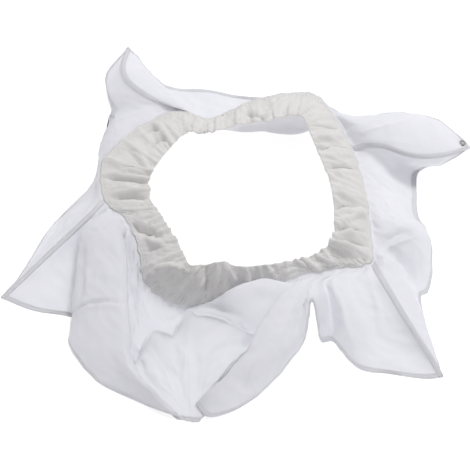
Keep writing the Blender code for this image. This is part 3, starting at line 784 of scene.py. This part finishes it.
BACK_RIBS = {
    "right seam": (19, *RIGHT_BACK_SEAM),
    "ear, near side": (
        19.3, (366, 136, 54), (388, 133, 63), (410, 134, 64), (430, 138, 59), (449, 141, 52), (467, 143, 44)),
    "ear, crest": (
        19.6, (360, 126, 58), (382, 121, 68), (404, 119, 70), (424, 121, 65), (441, 126, 57), (457, 134, 47)),
    "ear, far side": (
        19.9, (352, 122, 54), (368, 118, 61), (386, 115, 64), (402, 114, 62), (418, 114, 57), (434, 118, 50)),
    "ear, foot": (
        20.2, (343, 116, 46), (352, 117, 46), (362, 116, 44), (372, 115, 42), (382, 114, 41), (392, 112, 42)),
    "behind the corner": (
        20.6, (333, 110, 36), (339, 113, 24), (344, 116, 14), (348, 118, 7), (351, 119, 3), (354, 120, 1)),
    "drop, right": (
        21, (320, 107, 36), (322, 118, 18), (324, 124, 4), (324, 118, 0), (324, 111, 0), (324, 104, 0)),
    "drop, middle right": (
        22, (298, 108, 36), (299, 124, 14), (300, 134, 0), (299, 122, 0), (297, 110, 0), (296, 99, 0)),
    "drop, middle": (
        23, (258, 112, 32), (258, 124, 12), (258, 132, 0), (256, 120, 0), (253, 108, 0), (250, 97, 0)),
    "drop, left": (
        24, (230, 119, 26), (230, 127, 10), (229, 131, 0), (224, 118, 1), (217, 104, 2), (209, 90, 4)),
    "pinch": (25, (204, 123, 24), (201, 126, 12), (198, 122, 4), (193, 111, 5), (187, 99, 7), (180, 88, 9)),
    "ear, right foot": (
        25.5, (188, 112, 36), (183, 108, 35), (178, 103, 33), (173, 97, 31), (168, 91, 29), (163, 84, 29)),
    "ear, right side": (
        25.8, (174, 107, 44), (164, 98, 49), (154, 89, 51), (146, 78, 53), (139, 66, 55), (134, 52, 56)),
    "left seam": (26, *LEFT_BACK_SEAM),
}

# Creases that stand out on each panel, as the cuff's pleats are given
CREASES = {
    "left": {
        "ear, long crease": (2.5, 3.5, (121, 77), (142, 89), (163, 102)),
        "below the ear": (2.0, 3.0, (112, 121), (122, 117), (136, 113)),
    },
    "front": {
        "large fold, cross trough": (-2.2, 3.0, (69, 313), (86, 302), (106, 300), (124, 303)),
        "large fold, cross ridge": (1.6, 2.6, (70, 318), (88, 307), (106, 305), (122, 307)),
        "large fold, top trough": (-2.0, 3.0, (86, 229), (97, 230), (108, 226)),
        "large fold, edge": (2.4, 2.2, (127, 240), (128, 298), (130, 335), (137, 366), (155, 392),
        (178, 413)),
        "second fold, edge": (2.4, 2.2, (303, 275), (281, 297), (265, 317), (251, 343), (232, 364),
        (197, 402)),
        "bowl, left rim": (2.6, 2.0, (137, 360), (146, 345), (155, 330)),
        "bowl, left dip": (2.6, 2.0, (154, 330), (172, 335), (182, 322), (192, 312)),
        "bowl, right rim": (2.6, 2.0, (191, 312), (212, 317), (233, 322), (253, 332)),
        "bowl, under the rim": (-3.0, 4.0, (160, 324), (176, 318), (190, 303), (215, 308), (240, 316)),
        "bowl, beside the second fold": (-4.0, 6.0, (252, 336), (243, 349), (226, 368), (204, 391)),
        "bowl, beside the large fold": (-3.0, 5.0, (134, 330), (136, 352), (143, 372), (160, 392)),
        "second fold, hollow": (-3.5, 9.0, (298, 294), (287, 316), (272, 340)),
        "large fold, left hollow": (-3.0, 8.0, (80, 245), (79, 275), (79, 300)),
        "bowl, curl": (2.0, 5.0, (176, 344), (186, 356), (184, 380), (188, 402)),
        "bowl, second curl": (-1.6, 5.0, (192, 346), (198, 362), (194, 386)),
        "second fold, pull": (2.0, 3.0, (262, 352), (250, 368), (246, 384)),
        "right flap, pull": (2.0, 3.0, (366, 268), (376, 300), (382, 330)),
    },
    "right": {
        "from the corner": (3.0, 2.6, (354, 147), (367, 146), (390, 155), (411, 163)),
        "upper diagonal": (2.8, 2.2, (360, 161), (380, 174), (400, 187), (413, 197)),
        "upper trough": (-2.4, 3.5, (362, 168), (378, 180), (396, 192)),
        "middle diagonal": (2.6, 2.2, (372, 188), (390, 207), (409, 220)),
        "middle trough": (-2.2, 3.5, (372, 197), (386, 211), (402, 222)),
        "arc from the front corner": (2.6, 2.4, (373, 253), (382, 236), (395, 227), (411, 225)),
        "arc trough": (-2.2, 3.5, (377, 252), (387, 240), (399, 233), (413, 231)),
        "front fan": (2.2, 2.2, (375, 257), (398, 243), (419, 236)),
    },
    "back": {
        "sheet, pull to the tuck": (2.4, 2.2, (166, 80), (182, 94), (198, 109)),
        "ear, highlight": (2.0, 4.0, (347, 137), (380, 127), (414, 119)),
        "ear, lower fold": (1.6, 3.0, (360, 140), (390, 141), (420, 146)),
    },
}


def centripetal(points):
    """Knots for a curve through points, spaced by the root of their distance."""
    return np.concatenate(([0], np.cumsum(np.sqrt(np.linalg.norm(np.diff(points, axis=0), axis=-1) + 1e-6))))


def panel_grid(ribs, grain):
    """Points of a panel: columns along the seam by rows down to the hem."""
    places = np.array([rib[0] for rib in ribs.values()])
    spots = np.array([[spot(*each) for each in rib[1:]] for rib in ribs.values()])
    apart = np.linalg.norm(np.diff(spots, axis=0), axis=2)
    knots = np.concatenate(([0], np.cumsum(np.sqrt(apart.mean(1)))))
    steps = np.maximum(3, np.ceil(apart.max(1) / grain)).astype(int)
    columns = np.concatenate([np.linspace(a, b, count, endpoint=False)
                              for a, b, count in zip(knots, knots[1:], steps)] + [[knots[-1]]])
    seam, edge, _ = ring_at(np.interp(columns, knots, places))
    along = unit(edge - seam)
    lines = np.concatenate(((seam + along * SEAM_TUCK)[:, None], (seam - along * SEAM_RUN)[:, None],
                            spline(spots, knots, columns)), 1)
    reaches = np.percentile(np.linalg.norm(np.diff(lines, axis=1), axis=2), 90, axis=0)
    counts = np.maximum(2, np.ceil(reaches / grain).astype(int))
    marks = np.concatenate([np.arange(count) / count + level for level, count in enumerate(counts)]
                           + [[len(counts)]])
    grid = []
    for line in lines:
        line_knots = centripetal(line)
        grid.append(spline(line, line_knots, np.interp(marks, np.arange(len(line)), line_knots)))
    return np.array(grid)


def outward(grid):
    """Directions square to a panel, turned to the side that the camera sees more of."""
    facing = normals_of(grid)
    return facing * math.copysign(1, (facing @ away).mean())


def border(grid, distance):
    """Points of a grid at a distance from its first column, along each row."""
    steps = np.linalg.norm(np.diff(grid, axis=0), axis=2)
    run = np.concatenate((np.zeros((1, grid.shape[1])), np.cumsum(steps, 0)))
    return np.array([[np.interp(distance, run[:, row], grid[:, row, axis]) for axis in range(3)]
                     for row in range(grid.shape[1])])


def even(points, count):
    """A line of points read again at even distances."""
    run = run_of(points)
    places = np.linspace(0, run[-1], count)
    return np.stack([np.interp(places, run, points[:, axis]) for axis in range(3)], 1)


eyelet = next(mount for mount in frame["record"]["mounts"] if mount["name"] == "eyelet_flange")
eyelet_up = np.array(eyelet["axis"])
eyelet_middle = np.array(eyelet["pos_m"]) - eyelet_up * EYELET_SEAT
skirt_cotton = cotton("skirt_plain_cotton", SKIRT_COLOUR, SKIRT_SHADE, SKIRT_THROUGH)
PANELS = {"left": LEFT_RIBS, "front": FRONT_RIBS, "right": RIGHT_RIBS, "back": BACK_RIBS}
rng = np.random.default_rng(SKIRT_SEED)
sheets = {}
for side, ribs in PANELS.items():
    grid = panel_grid(ribs, GRAINS[side])
    columns, rows = grid.shape[:2]
    apart = np.linalg.norm(np.diff(grid, axis=0), axis=2)
    across = np.concatenate(([0], np.cumsum(apart.mean(1))))
    steps = np.linalg.norm(np.diff(grid, axis=1), axis=2)
    down = np.concatenate((np.zeros((columns, 1)), np.cumsum(steps, 1)), 1)
    facing = outward(grid)
    from_corner = np.minimum(1, np.minimum(across, across[-1] - across) / CALM_AT_CORNER)
    free = np.clip((down - SEAM_TUCK - SEAM_RUN) / CALM_AT_SEAM, 0, 1) * from_corner[:, None]
    spread = np.minimum(np.concatenate((apart[:1], apart)), np.concatenate((apart, apart[-1:])))
    lift = crumple(across[:, None], down, SKIRT_CRUMPLE_LENGTHS, rng) * SKIRT_CRUMPLE
    for height, width, *route in CREASES[side].values():
        lift += CREASE_EMPHASIS * crease(grid, facing, height, width, *route)
    grid = grid + facing * (lift * free * np.clip(spread / CLOSE_COLUMNS, 0, 1))[..., None]
    pucker = PUCKER_EXTRA * np.exp(-(down / PUCKER_REACH) ** 2) + SKIRT_EXTRA
    hold = np.full((columns, rows), SKIRT_HOLD)
    hold[:, :SEWN_ROWS] = 1.0
    hold[[0, -1]] = 1.0
    grid = settle(grid, pucker, np.full_like(pucker, SKIRT_EXTRA), hold, SKIRT_ROUNDS, SKIRT_STIFFNESS)
    from_eyelet = grid - eyelet_middle
    above = from_eyelet @ eyelet_up
    off_axis = np.linalg.norm(from_eyelet - above[..., None] * eyelet_up, axis=2)
    press = np.clip((EYELET_PRESS[1] - off_axis) / (EYELET_PRESS[1] - EYELET_PRESS[0]), 0, 1)
    press *= np.abs(above) < EYELET_REACH
    grid = grid - (above * press)[..., None] * eyelet_up
    grid[..., 2] = np.maximum(grid[..., 2], CLOTH)
    facing = outward(grid)
    sheets[side] = grid, facing

    faces = quads(columns, rows)
    middles = grid.reshape(-1, 3)[faces].mean(1) - eyelet_middle
    faces = faces[np.linalg.norm(middles, axis=1) > EYELET_HOLE]
    panel = add_mesh(side + "_panel_cloth", grid, faces, skirt_cotton)
    lay_uv(panel, across[:, None], down)
    thicken(panel, CLOTH)

    edge, up = grid.transpose(1, 0, 2)[::-1], facing.transpose(1, 0, 2)[::-1]
    profile = ((HEM + HEM_LIP, HEM_LIP / 3), (HEM, HEM_RISE), (HEM_LIP, HEM_RISE), (0, 0),
               (HEM_LIP, -HEM_RISE), (HEM, -HEM_RISE), (HEM + HEM_LIP, -HEM_LIP / 3))
    loops = np.stack([border(edge, distance) + up[0] * rise for distance, rise in profile], 1)
    loops[..., 2] = np.maximum(loops[..., 2], CLOTH / 2)
    hem = add_mesh(side + "_hem", loops, quads(columns, len(profile), False, True), skirt_cotton)
    lay_uv(hem, across[:, None], [distance for distance, _ in profile])
    thread_rows.append(border(edge, HEM - STITCH_INSET) + up[0] * (HEM_RISE + STITCH_STAND))
    for piece in (panel, hem):
        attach(piece, "root")
    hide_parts("skirt_" + side)

# Corner seams
# Where two panels meet, their edges are folded into each other and sewn down flat with two rows
# of stitches, which leaves a low double ridge of the same cotton from the cuff to the hem.
FELL = 0.0046
FELL_RISE = 0.0008
FELL_CREST = 1.2               # height of the ridge's middle against its shoulders
FELL_LIP = 0.0006
FELL_STEP = 0.003
FELL_SKIP = 4
FELL_INWARD = 3                # columns in from the seam, where the cloth's outward direction is read
FELL_PROFILE = ((FELL + FELL_LIP, FELL_LIP / 3), (FELL, FELL_RISE), (0, FELL_RISE * FELL_CREST))
CORNERS = {"left_back": ("left", 1, "back", -1), "left_front": ("left", -1, "front", 1),
           "right_front": ("front", -1, "right", 1), "right_back": ("right", -1, "back", 1)}
for name, (one, one_way, other, other_way) in CORNERS.items():
    halves = [[each[::way] for each in sheets[side]] for side, way in ((one, one_way), (other, other_way))]
    first_up = halves[0][1][FELL_INWARD].mean(0)
    count = math.ceil(run_of(halves[0][0][0, FELL_SKIP:])[-1] / FELL_STEP)
    lines = []
    for grid, facing in halves:
        up = facing[FELL_INWARD]
        up = up * math.copysign(1, up.mean(0) @ first_up)
        lines.append([even((border(grid, distance) + up * rise)[FELL_SKIP:], count)
                      for distance, rise in FELL_PROFILE])
        row = border(grid, FELL - STITCH_INSET) + up * (FELL_RISE + STITCH_STAND)
        thread_rows.append(even(row[FELL_SKIP:], count))
    (far, top, middle), (other_far, other_top, other_middle) = lines
    ridge = np.stack((far, top, (middle + other_middle) / 2, other_top, other_far), 1)
    ridge[..., 2] = np.maximum(ridge[..., 2], CLOTH / 2)
    seam_cloth = add_mesh(name + "_seam", ridge, quads(*ridge.shape[:2]), skirt_cotton)
    reach = run_of(ridge[:, 2])
    lay_uv(seam_cloth, reach[:, None], np.linspace(0, 2 * FELL, ridge.shape[1]))
    thicken(seam_cloth, CLOTH / 2)
    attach(seam_cloth, "root")

# Sewing thread
# White cotton thread in lock stitches: two rows round the cuff's seam on both faces, two along
# each corner seam and one along each hem.
STITCH_PITCH = 0.0034
STITCH_LENGTH = 0.0029
STITCH_WIDTH = 0.0008
THREAD_COLOUR = "#F2F1F0"
TWIST_MM = 2.0
spun_cotton, output = new_material("spun_cotton_thread")
tree = spun_cotton.node_tree
place = add_node(tree, "ShaderNodeTexCoord").outputs["Object"]
twist = add_node(tree, "ShaderNodeTexNoise", {"Vector": place, "Scale": 1000 / TWIST_MM})
relief = add_node(tree, "ShaderNodeBump", {
    "Height": twist.outputs["Fac"], "Strength": 0.3, "Distance": 0.0001})
shader = add_node(tree, "ShaderNodeBsdfPrincipled", {
    "Base Color": linear(THREAD_COLOUR), "Roughness": 0.75, "Sheen Weight": 0.2, "Normal": relief.outputs[0]})
tree.links.new(shader.outputs[0], output.inputs["Surface"])

stitching = bpy.data.node_groups.new("stitch_rows", "GeometryNodeTree")
sockets = {"Rows": "NodeSocketGeometry", "Pitch": "NodeSocketFloat", "Length": "NodeSocketFloat",
           "Width": "NodeSocketFloat", "Thread": "NodeSocketMaterial"}
ids = {name: stitching.interface.new_socket(name, in_out="INPUT", socket_type=kind).identifier
       for name, kind in sockets.items()}
stitching.interface.new_socket("Stitches", in_out="OUTPUT", socket_type="NodeSocketGeometry")
given = add_node(stitching, "NodeGroupInput").outputs
curve = add_node(stitching, "GeometryNodeMeshToCurve", {"Mesh": given["Rows"]})
spaced = add_node(stitching, "GeometryNodeResampleCurve", {
    "Curve": curve.outputs[0], "Length": given["Pitch"]}, mode="LENGTH")
bead = add_node(stitching, "GeometryNodeMeshUVSphere", {"Segments": 6, "Rings": 4, "Radius": 0.5})
size = add_node(stitching, "ShaderNodeCombineXYZ", {
    "X": given["Width"], "Y": given["Width"], "Z": given["Length"]})
stitch = add_node(stitching, "GeometryNodeTransform", {
    "Geometry": bead.outputs[0], "Scale": size.outputs[0]})
tangent = add_node(stitching, "GeometryNodeInputTangent")
turn = add_node(stitching, "FunctionNodeAlignRotationToVector", {"Vector": tangent.outputs[0]}, axis="Z")
copies = add_node(stitching, "GeometryNodeInstanceOnPoints", {
    "Points": spaced.outputs[0], "Instance": stitch.outputs[0], "Rotation": turn.outputs[0]})
real = add_node(stitching, "GeometryNodeRealizeInstances", {"Geometry": copies.outputs[0]})
dyed = add_node(stitching, "GeometryNodeSetMaterial", {
    "Geometry": real.outputs[0], "Material": given["Thread"]})
add_node(stitching, "NodeGroupOutput", {0: dyed.outputs[0]})

stitch_points = np.concatenate(thread_rows)
stitch_points[:, 2] = np.maximum(stitch_points[:, 2], STITCH_WIDTH)
ends = np.cumsum([0] + [len(row) for row in thread_rows])
links = [(point, point + 1) for start, stop in zip(ends, ends[1:]) for point in range(start, stop - 1)]
rows_mesh = bpy.data.meshes.new("stitch_lines")
rows_mesh.from_pydata(stitch_points.tolist(), links, [])
guide = bpy.data.objects.new("stitch_lines", rows_mesh)
bpy.context.collection.objects.link(guide)
sewing = guide.modifiers.new("stitches", "NODES")
sewing.node_group = stitching
inputs = {"Pitch": STITCH_PITCH, "Length": STITCH_LENGTH, "Width": STITCH_WIDTH, "Thread": spun_cotton}
for name, value in inputs.items():
    sewing[ids[name]] = value
sewn = bpy.data.meshes.new_from_object(guide.evaluated_get(bpy.context.evaluated_depsgraph_get()))
bpy.data.objects.remove(guide)
sewn.shade_smooth()
thread = bpy.data.objects.new("sewing_thread", sewn)
bpy.context.collection.objects.link(thread)
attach(thread, "root")

# Eyelet
# A small two-part eyelet near the tip of the right rear corner: a flanged barrel pushed through
# the cloth and rolled over a washer. Both are pressed brass with a nickel plate, satin from the press.
NICKEL = "#A3A2A0"
NICKEL_WORN = "#8C8985"
NICKEL_ROUGHNESS = (0.22, 0.42)
PRESS_MARK_MM = 0.8
nickel, output = new_material("nickel_plated_brass")
tree = nickel.node_tree
place = add_node(tree, "ShaderNodeTexCoord").outputs["Object"]
marks = add_node(tree, "ShaderNodeTexNoise", {"Vector": place, "Scale": 1000 / PRESS_MARK_MM, "Detail": 3.0})
tint = add_node(tree, "ShaderNodeMix", {
    0: marks.outputs["Fac"], 6: linear(NICKEL_WORN), 7: linear(NICKEL)}, data_type="RGBA")
dull = add_node(tree, "ShaderNodeMapRange", {
    "Value": marks.outputs["Fac"], "To Min": NICKEL_ROUGHNESS[0], "To Max": NICKEL_ROUGHNESS[1]})
shader = add_node(tree, "ShaderNodeBsdfPrincipled", {
    "Base Color": tint.outputs[2], "Metallic": 1.0, "Roughness": dull.outputs[0]})
tree.links.new(shader.outputs[0], output.inputs["Surface"])
for node in ("eyelet_grommet", "eyelet_washer"):
    for slot in frame["nodes"][node].material_slots:
        slot.material = nickel
